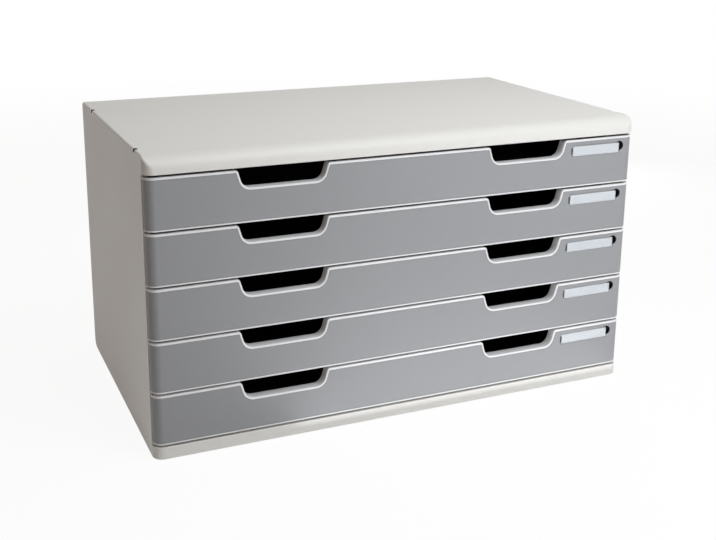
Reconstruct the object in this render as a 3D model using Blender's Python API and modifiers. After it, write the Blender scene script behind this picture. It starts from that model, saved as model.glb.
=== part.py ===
"""A desktop drawer unit for A3 paper: a moulded plastic casing that holds five shallow drawers.

Metres, +Z up. The origin is the middle of the footprint, on the surface that the unit stands on.
The drawers face -Y and slide out along -Y. Each drawer hangs by its side flanges on ledges that
are moulded into the side panels, and a tab at the back of each flange meets a keeper when the
drawer is pulled out as far as it goes. A drawer's own shapes are drawn in the drawer's frame:
x from its middle, y back from the front of the casing, z up from the bottom of its front.
"""

import math

import bmesh
import bpy
from mathutils import Matrix, Vector

# Casing as a whole
CASE_WIDTH = 0.574
CASE_DEPTH = 0.330
CORNER_RADIUS = 0.011
PANEL_FRONT = 0.012
SEAM = 0.0003

# Stack of drawers
DRAWER_COUNT = 5
FRONT_HEIGHT = 0.0544
FRONT_GAP = 0.0025

# Top cover
LID_HEIGHT = 0.0189
LID_PLATE = 0.003
LID_SKIRT = 0.0025
NOSE_DEPTH = 0.019
NOSE_DROP = 0.014
LID_RIB_COUNT = 3
LID_RIB_THICKNESS = 0.002
LID_RIB_HEIGHT = 0.010
NOTCH_WIDTH = 0.003
NOTCH_REACH = 0.0045
NOTCH_DROP = 0.0045
NOTCH_FRONT_INSET = 0.041
NOTCH_BACK_INSET = 0.060

# Base
PLINTH_HEIGHT = 0.0131
BASE_PLATE = 0.003
BASE_SKIRT = 0.0025
BASE_RIB_COUNT = 3
BASE_RIB_THICKNESS = 0.002
BASE_RIB_HEIGHT = 0.008

# Feet
FOOT_PROUD = 0.001
FOOT_THICKNESS = 0.0025
FOOT_RADIUS = 0.009
FOOT_EDGE = 0.0006
FOOT_INSET = 0.030
FOOT_BOSS_WALL = 0.0025

# Side panels
SIDE_WALL = 0.0025
SIDE_HEEL_RADIUS = 0.010
LEDGE_WIDTH = 0.0085
LEDGE_THICKNESS = 0.002
LEDGE_SETBACK = 0.003
KEEPER_LENGTH = 0.072

# Back panel
BACK_WALL = 0.0025
BACK_RECESS = 0.0015
BACK_FIELD_MARGIN = 0.030
BACK_FIELD_DEPTH = 0.001
BACK_FIELD_RADIUS = 0.012

# Drawer fronts: a dark face set into a light bezel
FRONT_SETBACK = 0.0008
CLOSE_GAP = 0.0006
FACE_THICKNESS = 0.0026
WEB_THICKNESS = 0.002
TOP_RIM = 0.0028
BOTTOM_RIM = 0.002

# Hand-holds
HOLD_WIDTH = 0.1013
HOLD_DROP = 0.0208
HOLD_SLANT = 0.0061
HOLD_RADIUS = 0.013
HOLD_RIM = 0.002
HOLD_SILL = 0.014
HOLD_END_INSET = 0.143

# Drawer trays
TRAY_FLOOR = 0.002
TRAY_FLOOR_LIFT = 0.0015
TRAY_WALL = 0.002
TRAY_WALL_DROP = 0.0084
TRAY_BACK_CLEARANCE = 0.003
FLANGE_WIDTH = 0.009
FLANGE_THICKNESS = 0.002
FLANGE_SIDE_CLEARANCE = 0.001
KEEPER_CLEARANCE = 0.0008
STOP_TAB_LENGTH = 0.003
STOP_TAB_HEIGHT = 0.004
STOP_TAB_WIDTH = 0.006

# Labels
LABEL_WIDTH = 0.063
LABEL_HEIGHT = 0.0114
LABEL_END_INSET = 0.0202
LABEL_DROP = 0.0078
LABEL_RECESS = 0.0016
LABEL_TOP_SLOPE = 0.004
LABEL_END_SLOPE = 0.004
LABEL_BOTTOM_SLOPE = 0.001
LABEL_FIT = 0.0001
CARD_THICKNESS = 0.0003
WINDOW_THICKNESS = 0.0008
THUMB_RADIUS = 0.0055
THUMB_DEPTH = 0.0022
THUMB_RISE = 0.008

# How finely round stretches are drawn, and how far a cutter runs past what it cuts
ARC_STEPS = 6
NOSE_STEPS = 10
ROUND_SIDES = 24
OVERRUN = 0.005
LEAST_RADIUS = 0.0005
WELD_DISTANCE = 0.00001
GRID = 0.000001

# Heights and depths that follow from the sizes above
PITCH = FRONT_HEIGHT + FRONT_GAP
BASE_TOP = FOOT_PROUD + PLINTH_HEIGHT
LID_BOTTOM = BASE_TOP + DRAWER_COUNT * PITCH + FRONT_GAP
CASE_TOP = LID_BOTTOM + LID_HEIGHT
CASE_FRONT = -CASE_DEPTH / 2
CASE_BACK = CASE_DEPTH / 2
HALF_WIDTH = CASE_WIDTH / 2
INNER_HALF = HALF_WIDTH - SIDE_WALL
FITTED_HALF = INNER_HALF - SEAM
BACK_PANEL_BACK = CASE_BACK - BACK_RECESS
BACK_PANEL_FRONT = BACK_PANEL_BACK - BACK_WALL
WRAP_END = PANEL_FRONT - CLOSE_GAP
WEB_FRONT = FRONT_SETBACK + FACE_THICKNESS + SEAM
WEB_BACK = WEB_FRONT + WEB_THICKNESS
SILL_BACK = FRONT_SETBACK + HOLD_SILL
TRAY_FRONT = WEB_BACK + SEAM
FLANGE_HALF = INNER_HALF - FLANGE_SIDE_CLEARANCE
TRAY_HALF = FLANGE_HALF - FLANGE_WIDTH
TRAY_BACK = CASE_DEPTH - BACK_RECESS - BACK_WALL - TRAY_BACK_CLEARANCE
FLOOR_TOP = TRAY_FLOOR_LIFT + TRAY_FLOOR
TRAY_WALL_TOP = FRONT_HEIGHT - TRAY_WALL_DROP
FLANGE_BOTTOM = TRAY_WALL_TOP - FLANGE_THICKNESS
LEDGE_TOP = FLANGE_BOTTOM - SEAM
KEEPER_BOTTOM = TRAY_WALL_TOP + KEEPER_CLEARANCE
LABEL_RIGHT = HALF_WIDTH - LABEL_END_INSET
LABEL_LEFT = LABEL_RIGHT - LABEL_WIDTH
LABEL_TOP = FRONT_HEIGHT - LABEL_DROP
LABEL_BOTTOM = LABEL_TOP - LABEL_HEIGHT
LABEL_FLOOR = FRONT_SETBACK + LABEL_RECESS

# Colours of the plastics, paper and rubber
LIGHT_GREY = (0.60, 0.585, 0.56, 1.0)
PALE_GREY = (0.66, 0.65, 0.63, 1.0)
DARK_GREY = (0.22, 0.22, 0.235, 1.0)
CHARCOAL = (0.025, 0.025, 0.028, 1.0)
PAPER_WHITE = (0.80, 0.83, 0.86, 1.0)
CLEAR = (0.95, 0.97, 1.0, 1.0)
BLACK_RUBBER = (0.03, 0.03, 0.03, 1.0)


def start_empty():
    """Removes every object and makes the collections of the parts and of their cutters."""
    for obj in list(bpy.data.objects):
        bpy.data.objects.remove(obj, do_unlink=True)
    parts = bpy.data.collections.new("desktop_file_drawer")
    cutters = bpy.data.collections.new("cutters")
    bpy.context.scene.collection.children.link(parts)
    bpy.context.scene.collection.children.link(cutters)
    return parts, cutters


PARTS, CUTTERS = start_empty()


def make_material(name, colour, roughness, metallic=0.0):
    """A plain Principled material with one colour."""
    material = bpy.data.materials.new(name)
    material.use_nodes = True
    shader = material.node_tree.nodes["Principled BSDF"]
    shader.inputs["Base Color"].default_value = colour
    shader.inputs["Roughness"].default_value = roughness
    shader.inputs["Metallic"].default_value = metallic
    material.diffuse_color = colour
    return material


def arc(centre, radius, start, end):
    """Points of an arc about a centre, from one angle in degrees to another."""
    points = []
    for step in range(ARC_STEPS + 1):
        angle = math.radians(start + (end - start) * step / ARC_STEPS)
        points.append((centre[0] + radius * math.cos(angle), centre[1] + radius * math.sin(angle)))
    return points


def solid_from(name, shape):
    """An object of a bmesh whose corners are welded and put on a fine grid.

    On the grid, faces that are meant to lie in one plane do so exactly, and join or cut cleanly.
    """
    for vertex in shape.verts:
        vertex.co = [round(length / GRID) * GRID for length in vertex.co]
    bmesh.ops.remove_doubles(shape, verts=shape.verts, dist=WELD_DISTANCE)
    bmesh.ops.dissolve_degenerate(shape, edges=shape.edges, dist=WELD_DISTANCE)
    bmesh.ops.recalc_face_normals(shape, faces=shape.faces)
    mesh = bpy.data.meshes.new(name)
    shape.to_mesh(mesh)
    shape.free()
    return bpy.data.objects.new(name, mesh)


def add_box(name, low, high):
    """A box from its lowest corner to its highest."""
    shape = bmesh.new()
    bmesh.ops.create_cube(shape, size=1.0)
    bmesh.ops.scale(shape, vec=Vector(high) - Vector(low), verts=shape.verts)
    bmesh.ops.translate(shape, vec=(Vector(high) + Vector(low)) / 2, verts=shape.verts)
    return solid_from(name, shape)


def add_cylinder(name, radius, low, high, axis="Z"):
    """A cylinder between two end centres that lie along one axis."""
    shape = bmesh.new()
    length = (Vector(high) - Vector(low)).length
    bmesh.ops.create_cone(
        shape, cap_ends=True, segments=ROUND_SIDES, radius1=radius, radius2=radius, depth=length
    )
    if axis == "Y":
        bmesh.ops.rotate(shape, matrix=Matrix.Rotation(math.radians(90), 3, "X"), verts=shape.verts)
    bmesh.ops.translate(shape, vec=(Vector(high) + Vector(low)) / 2, verts=shape.verts)
    return solid_from(name, shape)


# How the flat outline of each view stands in space: its turn, and the axis that it is extruded along
VIEWS = {
    "plan": ((0, 0, 0), Vector((0, 0, 1))),
    "front": ((math.radians(90), 0, 0), Vector((0, 1, 0))),
    "side": ((math.radians(90), 0, math.radians(90)), Vector((1, 0, 0))),
}


def extrude(name, view, outline, low, high):
    """A solid with a flat outline, drawn in one view and extruded from low to high across it."""
    turn, axis = VIEWS[view]
    curve = bpy.data.curves.new(name, "CURVE")
    curve.dimensions = "2D"
    curve.fill_mode = "BOTH"
    curve.extrude = (high - low) / 2
    spline = curve.splines.new("POLY")
    spline.points.add(len(outline) - 1)
    for point, (across, up) in zip(spline.points, outline):
        point.co = (across, up, 0, 1)
    spline.use_cyclic_u = True
    drawn = bpy.data.objects.new(name + "_outline", curve)
    drawn.rotation_euler = turn
    drawn.location = axis * (low + high) / 2
    return curve_to_mesh(drawn, name)


def curve_to_mesh(drawn, name):
    """Turns a curve object into a closed mesh object and removes the curve."""
    bpy.context.scene.collection.objects.link(drawn)
    bpy.context.view_layer.update()
    evaluated = drawn.evaluated_get(bpy.context.evaluated_depsgraph_get())
    mesh = bpy.data.meshes.new_from_object(evaluated)
    mesh.transform(drawn.matrix_world)
    shape = bmesh.new()
    shape.from_mesh(mesh)
    bpy.data.objects.remove(drawn, do_unlink=True)
    bpy.data.meshes.remove(mesh)
    return solid_from(name, shape)


def combine(target, tool, operation):
    """Cuts a shape with another, joins it on or keeps only what they share."""
    CUTTERS.objects.link(tool)
    tool.hide_render = True
    tool.display_type = "WIRE"
    boolean = target.modifiers.new(tool.name, "BOOLEAN")
    boolean.operation = operation
    boolean.object = tool


def cut(target, *tools):
    """Cuts each tool out of the target."""
    for tool in tools:
        combine(target, tool, "DIFFERENCE")


def join(target, *tools):
    """Joins each tool onto the target."""
    for tool in tools:
        combine(target, tool, "UNION")


def finished_mesh(shape):
    """The mesh of a shape with its modifiers applied, for copies that share it."""
    bpy.context.scene.collection.objects.link(shape)
    bpy.context.view_layer.update()
    evaluated = shape.evaluated_get(bpy.context.evaluated_depsgraph_get())
    mesh = bpy.data.meshes.new_from_object(evaluated)
    mesh.transform(shape.matrix_world)
    welded = bmesh.new()
    welded.from_mesh(mesh)
    name = shape.name
    bpy.data.objects.remove(shape, do_unlink=True)
    return solid_from(name, welded).data


def place(shape, material, parent=None):
    """Adds a finished object to the parts with its material, its shading and its parent."""
    PARTS.objects.link(shape)
    if not shape.data.materials:
        shape.data.materials.append(material)
        shape.data.shade_smooth()
        shape.data.set_sharp_from_angle(angle=math.radians(30))
    if parent:
        shape.parent = parent
    return shape


# Outlines

def skin_path(inset, end):
    """Plan path that follows the front and its two corners, inset from the casing's skin."""
    corner = HALF_WIDTH - CORNER_RADIUS
    radius = max(CORNER_RADIUS - inset, LEAST_RADIUS)
    path = [(-corner - radius, end)]
    path += arc((-corner, inset + radius), radius, 180, 270)
    path += arc((corner, inset + radius), radius, 270, 360)
    path.append((corner + radius, end))
    return path


def wrap_strip(outer, inner, end):
    """Plan outline of a strip that wraps the front and its corners between two insets."""
    return skin_path(outer, end) + skin_path(inner, end)[::-1]


def nose_profile(inset, low, high, back):
    """Side outline of the top cover, or of its hollow when it is inset from the outside."""
    front = CASE_FRONT + inset
    depth = max(NOSE_DEPTH - inset, LEAST_RADIUS)
    drop = max(min(NOSE_DROP, LID_HEIGHT) - inset, LEAST_RADIUS)
    outline = [(back, low), (back, high)]
    for step in range(NOSE_STEPS + 1):
        angle = math.radians(90 * step / NOSE_STEPS)
        outline.append((front + depth * (1 - math.sin(angle)), high - drop * (1 - math.cos(angle))))
    outline.append((front, low))
    return outline


def hold_outline(centre, grow, top):
    """Front outline of a hand-hold: open at the top, slanted sides, round lower corners."""
    bottom = FRONT_HEIGHT - HOLD_DROP
    slant = math.atan(HOLD_SLANT / HOLD_DROP)
    foot = HOLD_WIDTH / 2 - HOLD_SLANT
    reach = foot - HOLD_RADIUS * (1 - math.sin(slant)) / math.cos(slant)
    top_half = foot + (top - bottom) * math.tan(slant) + grow / math.cos(slant)
    lean = math.degrees(slant)
    rise = bottom + HOLD_RADIUS
    outline = [(centre - top_half, top)]
    outline += arc((centre - reach, rise), HOLD_RADIUS + grow, 180 + lean, 270)
    outline += arc((centre + reach, rise), HOLD_RADIUS + grow, 270, 360 - lean)
    outline.append((centre + top_half, top))
    return outline


def rounded_field(half_width, low, high, radius):
    """Front outline of a rectangle with four round corners."""
    outline = arc((-half_width + radius, low + radius), radius, 180, 270)
    outline += arc((half_width - radius, low + radius), radius, 270, 360)
    outline += arc((half_width - radius, high - radius), radius, 0, 90)
    outline += arc((-half_width + radius, high - radius), radius, 90, 180)
    return outline


def hold_centres():
    """Where the middle of each hand-hold lies across the front."""
    return [HOLD_END_INSET - HALF_WIDTH, HALF_WIDTH - HOLD_END_INSET]


def corner_prism(name, low, high):
    """The footprint of the casing with its two round front corners, from low to high."""
    outline = skin_path(0, CASE_DEPTH)
    return extrude(name, "plan", [(x, y + CASE_FRONT) for x, y in outline], low, high)


# Casing

def side_seats(name, low, high):
    """The two spaces that the side panels fill, seen from what they stand against."""
    seats = []
    for label, side in (("left", -1), ("right", 1)):
        reach = sorted((side * FITTED_HALF, side * (HALF_WIDTH + OVERRUN)))
        start = (reach[0], CASE_FRONT + PANEL_FRONT - SEAM, low)
        end = (reach[1], CASE_BACK + OVERRUN, high)
        seats.append(add_box(name + "_seat_" + label, start, end))
    return seats


def spread(count, span):
    """Places evenly spread across a span, none at its ends, measured from its middle."""
    return [span * ((index + 1) / (count + 1) - 1 / 2) for index in range(count)]


def build_ribs(name, count, thickness, low, high, skirt):
    """Ribs that stiffen a wide plate, from its front skirt to just before the back panel."""
    ribs = []
    for index, middle in enumerate(spread(count, CASE_WIDTH)):
        start = (middle - thickness / 2, CASE_FRONT + skirt / 2, low)
        end = (middle + thickness / 2, BACK_PANEL_FRONT - SEAM, high)
        ribs.append(add_box(name + "_rib_" + str(index + 1), start, end))
    return ribs


def edge_notches(name):
    """The four small notches that run across the upper side edges."""
    notches = []
    for side, edge in (("left", -HALF_WIDTH), ("right", HALF_WIDTH)):
        places = {"front": CASE_FRONT + NOTCH_FRONT_INSET, "back": CASE_BACK - NOTCH_BACK_INSET}
        reach = sorted((edge - math.copysign(NOTCH_REACH, edge), edge + math.copysign(OVERRUN, edge)))
        for end, middle in places.items():
            start = (reach[0], middle - NOTCH_WIDTH / 2, CASE_TOP - NOTCH_DROP)
            stop = (reach[1], middle + NOTCH_WIDTH / 2, CASE_TOP + OVERRUN)
            notches.append(add_box("_".join((name, "notch", side, end)), start, stop))
    return notches


def build_top_cover(material):
    """The top cover: a plate with a round nose, skirts inside the side panels, and ribs."""
    outline = nose_profile(0, LID_BOTTOM, CASE_TOP, CASE_BACK)
    cover = extrude("top_cover", "side", outline, -HALF_WIDTH, HALF_WIDTH)
    inner = CASE_TOP - LID_PLATE
    hollow = nose_profile(LID_SKIRT, LID_BOTTOM - OVERRUN, inner, CASE_BACK - LID_SKIRT)
    half = FITTED_HALF - LID_SKIRT
    cut(cover, extrude("top_cover_hollow", "side", hollow, -half, half))
    root = CASE_TOP - LID_PLATE / 2
    ribs = build_ribs("top_cover", LID_RIB_COUNT, LID_RIB_THICKNESS, inner - LID_RIB_HEIGHT, root, LID_SKIRT)
    for rib in ribs:
        combine(rib, extrude(rib.name + "_limit", "side", outline, -HALF_WIDTH, HALF_WIDTH), "INTERSECT")
    join(cover, *ribs)
    cut(cover, *side_seats("top_cover", LID_BOTTOM - OVERRUN, inner))
    combine(cover, corner_prism("top_cover_corners", LID_BOTTOM - OVERRUN, CASE_TOP + OVERRUN), "INTERSECT")
    cut(cover, *edge_notches("top_cover"))
    place(cover, material)


def foot_places():
    """Name and place of each foot."""
    across = HALF_WIDTH - FOOT_INSET
    front = CASE_FRONT + FOOT_INSET
    back = CASE_BACK - FOOT_INSET
    return {
        "front_left": (-across, front),
        "front_right": (across, front),
        "back_left": (-across, back),
        "back_right": (across, back),
    }


def build_base(material):
    """The base: a plinth with round front corners, open below, with ribs and foot bosses."""
    base = corner_prism("base", FOOT_PROUD, BASE_TOP)
    inner = BASE_TOP - BASE_PLATE
    half = FITTED_HALF - BASE_SKIRT
    low = (-half, CASE_FRONT + BASE_SKIRT, FOOT_PROUD - OVERRUN)
    high = (half, CASE_BACK - BASE_SKIRT, inner)
    cut(base, add_box("base_hollow", low, high))
    root = BASE_TOP - BASE_PLATE / 2
    join(base, *build_ribs("base", BASE_RIB_COUNT, BASE_RIB_THICKNESS, inner - BASE_RIB_HEIGHT, root, BASE_SKIRT))
    for name, (x, y) in foot_places().items():
        start = (x, y, FOOT_THICKNESS + SEAM)
        join(base, add_cylinder("base_boss_" + name, FOOT_RADIUS + FOOT_BOSS_WALL, start, (x, y, root)))
    cut(base, *side_seats("base", FOOT_PROUD - OVERRUN, BASE_TOP + OVERRUN))
    place(base, material)


def build_feet(material):
    """The four rubber pads under the base's bosses."""
    for name, (x, y) in foot_places().items():
        pad = add_cylinder("foot_pad_" + name, FOOT_RADIUS, (x, y, 0), (x, y, FOOT_THICKNESS))
        edge = pad.modifiers.new("edge", "BEVEL")
        edge.width = min(FOOT_EDGE, FOOT_THICKNESS / 2)
        edge.segments = 1
        edge.limit_method = "ANGLE"
        place(pad, material)


def side_outline():
    """Side outline of a side panel, with its heel rounded."""
    front = CASE_FRONT + PANEL_FRONT
    top = CASE_TOP - LID_PLATE - SEAM
    heel = (CASE_BACK - SIDE_HEEL_RADIUS, FOOT_PROUD + SIDE_HEEL_RADIUS)
    return [(front, top), (front, FOOT_PROUD)] + arc(heel, SIDE_HEEL_RADIUS, 270, 360) + [(CASE_BACK, top)]


def build_ledge(name, side, bottom, start, end):
    """A ledge on the inside of a side panel, rooted in its wall."""
    reach = sorted((side * (INNER_HALF - LEDGE_WIDTH), side * (INNER_HALF + SIDE_WALL / 2)))
    return add_box(name, (reach[0], start, bottom), (reach[1], end, bottom + LEDGE_THICKNESS))


def build_side_panel(label, side, material):
    """A side panel with a ledge and a keeper for each drawer, and a rib that rests on the base."""
    name = "side_panel_" + label
    reach = sorted((side * INNER_HALF, side * HALF_WIDTH))
    panel = extrude(name, "side", side_outline(), reach[0], reach[1])
    start = CASE_FRONT + PANEL_FRONT + LEDGE_SETBACK
    end = BACK_PANEL_FRONT - SEAM
    join(panel, build_ledge(name + "_base_rib", side, BASE_TOP + SEAM, start, end))
    for index in range(DRAWER_COUNT):
        bottom = drawer_bottom(index + 1)
        ledge = bottom + LEDGE_TOP - LEDGE_THICKNESS
        keeper = bottom + KEEPER_BOTTOM
        number = str(index + 1)
        join(panel, build_ledge(name + "_ledge_" + number, side, ledge, start, end))
        join(panel, build_ledge(name + "_keeper_" + number, side, keeper, start, start + KEEPER_LENGTH))
    cut(panel, *edge_notches(name))
    place(panel, material)


def build_back_panel(material):
    """The back panel between the side panels, with a shallow field on its outside."""
    low = BASE_TOP + SEAM
    high = LID_BOTTOM - SEAM
    start = (-FITTED_HALF, BACK_PANEL_FRONT, low)
    panel = add_box("back_panel", start, (FITTED_HALF, BACK_PANEL_BACK, high))
    margin = BACK_FIELD_MARGIN
    field = rounded_field(FITTED_HALF - margin, low + margin, high - margin, BACK_FIELD_RADIUS)
    depth = BACK_PANEL_BACK - BACK_FIELD_DEPTH
    cut(panel, extrude("back_panel_field", "front", field, depth, BACK_PANEL_BACK + OVERRUN))
    place(panel, material)


# Drawers

def drawer_bottom(number):
    """Height of the bottom of a drawer's front. Drawer 1 is the top one."""
    return BASE_TOP + FRONT_GAP + (DRAWER_COUNT - number) * PITCH


def hold_cutters(name, grow, top, start, end):
    """A cutter through the front for each hand-hold, its outline grown or drawn in."""
    cutters = []
    for index, centre in enumerate(hold_centres()):
        outline = hold_outline(centre, grow, top)
        cutters.append(extrude(name + "_hold_" + str(index + 1), "front", outline, start, end))
    return cutters


def bezel_mesh():
    """The light frame of a drawer front: the web behind the face, the rims round it and the sills."""
    bezel = extrude("drawer_bezel", "plan", wrap_strip(FRONT_SETBACK, WEB_BACK, WRAP_END), 0, FRONT_HEIGHT)
    groove = wrap_strip(-OVERRUN, WEB_FRONT, WRAP_END + OVERRUN)
    cut(bezel, extrude("bezel_groove", "plan", groove, BOTTOM_RIM, FRONT_HEIGHT - TOP_RIM))
    join(bezel, *hold_cutters("bezel_sill", 0, FRONT_HEIGHT, FRONT_SETBACK, SILL_BACK))
    cut(bezel, *hold_cutters("bezel", -HOLD_RIM, FRONT_HEIGHT + OVERRUN, -OVERRUN, SILL_BACK + OVERRUN))
    return finished_mesh(bezel)


def rail_mesh(name, side):
    """A side rail of a drawer: its wall, the flange that it hangs by, and the stop tab."""
    wall = sorted((side * (TRAY_HALF - TRAY_WALL), side * TRAY_HALF))
    low = (wall[0], TRAY_FRONT, TRAY_FLOOR_LIFT)
    rail = add_box(name, low, (wall[1], TRAY_BACK, TRAY_WALL_TOP))
    flange = sorted((side * (TRAY_HALF - TRAY_WALL / 2), side * FLANGE_HALF))
    low = (flange[0], PANEL_FRONT, FLANGE_BOTTOM)
    join(rail, add_box(name + "_flange", low, (flange[1], TRAY_BACK, TRAY_WALL_TOP)))
    tab = sorted((side * (FLANGE_HALF - STOP_TAB_WIDTH), side * FLANGE_HALF))
    low = (tab[0], TRAY_BACK - STOP_TAB_LENGTH, FLANGE_BOTTOM)
    high = (tab[1], TRAY_BACK, TRAY_WALL_TOP + STOP_TAB_HEIGHT)
    join(rail, add_box(name + "_tab", low, high))
    return finished_mesh(rail)


def floor_mesh():
    """The floor of a drawer, between its rails and from its front to its back."""
    half = TRAY_HALF - TRAY_WALL - SEAM
    low = (-half, TRAY_FRONT, TRAY_FLOOR_LIFT)
    return finished_mesh(add_box("drawer_floor", low, (half, TRAY_BACK, FLOOR_TOP)))


def back_mesh():
    """The back of a drawer, standing on its floor between its rails."""
    half = TRAY_HALF - TRAY_WALL - SEAM
    low = (-half, TRAY_BACK - TRAY_WALL, FLOOR_TOP + SEAM)
    return finished_mesh(add_box("drawer_back", low, (half, TRAY_BACK, TRAY_WALL_TOP)))


def label_recess():
    """The shallow recess for a label, with sides that slope out to the face.

    The cutter runs as far in front of the face as it goes in, so its front end is widened twice
    as much as the recess is at the face.
    """
    low = (LABEL_LEFT, FRONT_SETBACK - LABEL_RECESS, LABEL_BOTTOM)
    recess = add_box("label_recess", low, (LABEL_RIGHT, LABEL_FLOOR, LABEL_TOP))
    for vertex in recess.data.vertices:
        if vertex.co.y < FRONT_SETBACK:
            vertex.co.x += math.copysign(2 * LABEL_END_SLOPE, vertex.co.x - (LABEL_LEFT + LABEL_RIGHT) / 2)
            above = vertex.co.z > (LABEL_BOTTOM + LABEL_TOP) / 2
            vertex.co.z += 2 * LABEL_TOP_SLOPE if above else -2 * LABEL_BOTTOM_SLOPE
    return recess


def front_mesh():
    """The dark face of a drawer, wrapped round both corners, with its hand-holds and label recess."""
    outline = wrap_strip(FRONT_SETBACK, FRONT_SETBACK + FACE_THICKNESS, WRAP_END)
    low = BOTTOM_RIM + SEAM
    high = FRONT_HEIGHT - TOP_RIM - SEAM
    front = extrude("drawer_front", "plan", outline, low, high)
    cut(front, *hold_cutters("front", SEAM, FRONT_HEIGHT, -OVERRUN, SILL_BACK))
    cut(front, label_recess())
    thumb = LABEL_BOTTOM + THUMB_RISE
    start = (LABEL_RIGHT, -OVERRUN, thumb)
    end = (LABEL_RIGHT, FRONT_SETBACK + THUMB_DEPTH, thumb)
    cut(front, add_cylinder("thumb_scoop", THUMB_RADIUS, start, end, "Y"))
    return finished_mesh(front)


def label_sheet(name, back, thickness):
    """A flat sheet in the label recess, with its back at a given depth."""
    low = (LABEL_LEFT + LABEL_FIT, back - thickness, LABEL_BOTTOM + LABEL_FIT)
    high = (LABEL_RIGHT - LABEL_FIT, back, LABEL_TOP - LABEL_FIT)
    return finished_mesh(add_box(name, low, high))


def build_drawers(materials):
    """The like drawers, each under its own empty: floor, back, rails, bezel, face and label."""
    card_back = LABEL_FLOOR - LABEL_FIT
    window_back = card_back - CARD_THICKNESS - LABEL_FIT
    meshes = {
        "drawer_floor": (floor_mesh(), materials["tray"]),
        "drawer_back": (back_mesh(), materials["tray"]),
        "drawer_rail_left": (rail_mesh("drawer_rail_left", -1), materials["tray"]),
        "drawer_rail_right": (rail_mesh("drawer_rail_right", 1), materials["tray"]),
        "drawer_bezel": (bezel_mesh(), materials["bezel"]),
        "drawer_front": (front_mesh(), materials["front"]),
        "label_card": (label_sheet("label_card", card_back, CARD_THICKNESS), materials["paper"]),
        "label_window": (label_sheet("label_window", window_back, WINDOW_THICKNESS), materials["window"]),
    }
    for number in range(1, DRAWER_COUNT + 1):
        slide = bpy.data.objects.new("drawer_" + str(number), None)
        slide.location = (0, CASE_FRONT, drawer_bottom(number))
        PARTS.objects.link(slide)
        for name, (mesh, material) in meshes.items():
            place(bpy.data.objects.new(name + "_" + str(number), mesh), material, slide)


def main():
    """Builds the casing, its feet and its drawers."""
    casing = make_material("casing_plastic", LIGHT_GREY, 0.42)
    build_top_cover(casing)
    build_base(casing)
    build_feet(make_material("foot_rubber", BLACK_RUBBER, 0.8))
    build_side_panel("left", -1, casing)
    build_side_panel("right", 1, casing)
    build_back_panel(casing)
    build_drawers({
        "tray": make_material("tray_plastic", CHARCOAL, 0.5),
        "bezel": make_material("bezel_plastic", PALE_GREY, 0.4),
        "front": make_material("front_plastic", DARK_GREY, 0.38),
        "paper": make_material("label_paper", PAPER_WHITE, 0.8),
        "window": make_material("clear_plastic", CLEAR, 0.1),
    })


main()
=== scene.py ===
"""Looks of a desktop file drawer unit: a pale moulded casing with five grey drawers for A3 paper.

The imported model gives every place. Each visible piece here is a finer moulding that stands for one
CAD node and rides on the same body, dressed in a procedural finish. Metres, +Z up, the drawers face
-Y, and the middle of the footprint is the origin.
"""

import logging
import math
from collections.abc import Callable, Iterable, Sequence
from dataclasses import dataclass
from enum import Enum
from functools import cached_property, reduce
from operator import add, sub

import bmesh
import bpy
from mathutils import Matrix, Vector


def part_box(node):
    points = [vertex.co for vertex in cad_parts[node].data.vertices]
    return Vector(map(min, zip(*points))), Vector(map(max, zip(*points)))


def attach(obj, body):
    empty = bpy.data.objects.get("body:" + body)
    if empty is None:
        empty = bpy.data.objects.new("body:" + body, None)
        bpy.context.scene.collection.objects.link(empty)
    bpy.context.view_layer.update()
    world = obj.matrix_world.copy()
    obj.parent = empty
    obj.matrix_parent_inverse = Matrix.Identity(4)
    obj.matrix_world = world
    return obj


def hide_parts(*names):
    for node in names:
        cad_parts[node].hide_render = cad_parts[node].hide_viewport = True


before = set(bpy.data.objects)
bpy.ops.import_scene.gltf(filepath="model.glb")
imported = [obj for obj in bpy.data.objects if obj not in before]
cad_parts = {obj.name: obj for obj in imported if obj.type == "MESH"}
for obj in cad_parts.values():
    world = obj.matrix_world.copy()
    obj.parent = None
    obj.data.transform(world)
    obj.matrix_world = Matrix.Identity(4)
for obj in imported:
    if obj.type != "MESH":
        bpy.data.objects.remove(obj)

LOG = logging.getLogger("file_drawer")
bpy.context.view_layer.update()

# Corners are rounded to the grid and joined within the weld, and cutters overrun what they cut.
GRID = 0.000001
WELD = 0.00001
OVERRUN = 0.005

# Edges flatter than the first angle are dissolved, and those past the others are rounded or shaded sharp.
FLAT_ANGLE = math.radians(0.2)
EDGE_ANGLE = math.radians(40)
STEEP_ANGLE = math.radians(60)
SHARP_ANGLE = math.radians(42)
EDGE_STEPS = 3
THIN_EDGE_STEPS = 2
OUTLINE_STEPS = 10
TURNED_SIDES = 48
NOISE_MIDDLE = 0.5
WHITE = (1.0, 1.0, 1.0)

Point = tuple[float, float]
Corner = tuple[float, float, float]
Colour = tuple[float, float, float]
Inputs = dict[int | str, object]


def new_object(name: str, data: bpy.types.ID, place: Sequence[float] = (0, 0, 0)) -> bpy.types.Object:
    """Adds an object to the scene.

    Args:
        name: Its name.
        data: Its mesh, lamp or camera.
        place: Where its origin lies.

    Returns:
        The object.
    """
    item = bpy.data.objects.new(name, data)
    item.location = place
    bpy.context.scene.collection.objects.link(item)
    return item


# Outlines and solids


class View(Enum):
    """How the flat outline of a solid lies in space: across, up, and the way it is extruded."""

    PLAN = ((1, 0, 0), (0, 1, 0), (0, 0, 1))
    FRONT = ((1, 0, 0), (0, 0, 1), (0, 1, 0))
    SIDE = ((0, 1, 0), (0, 0, 1), (1, 0, 0))

    def point(self, across: float, up: float, along: float) -> Vector:
        """Place in space of a point of the outline."""
        axes = [Vector(axis) for axis in self.value]
        return axes[0] * across + axes[1] * up + axes[2] * along


def span(side: int, near: float, far: float) -> list[float]:
    """Both ends of a stretch on one side of the middle, the lower first."""
    return sorted((side * near, side * far))


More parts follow.
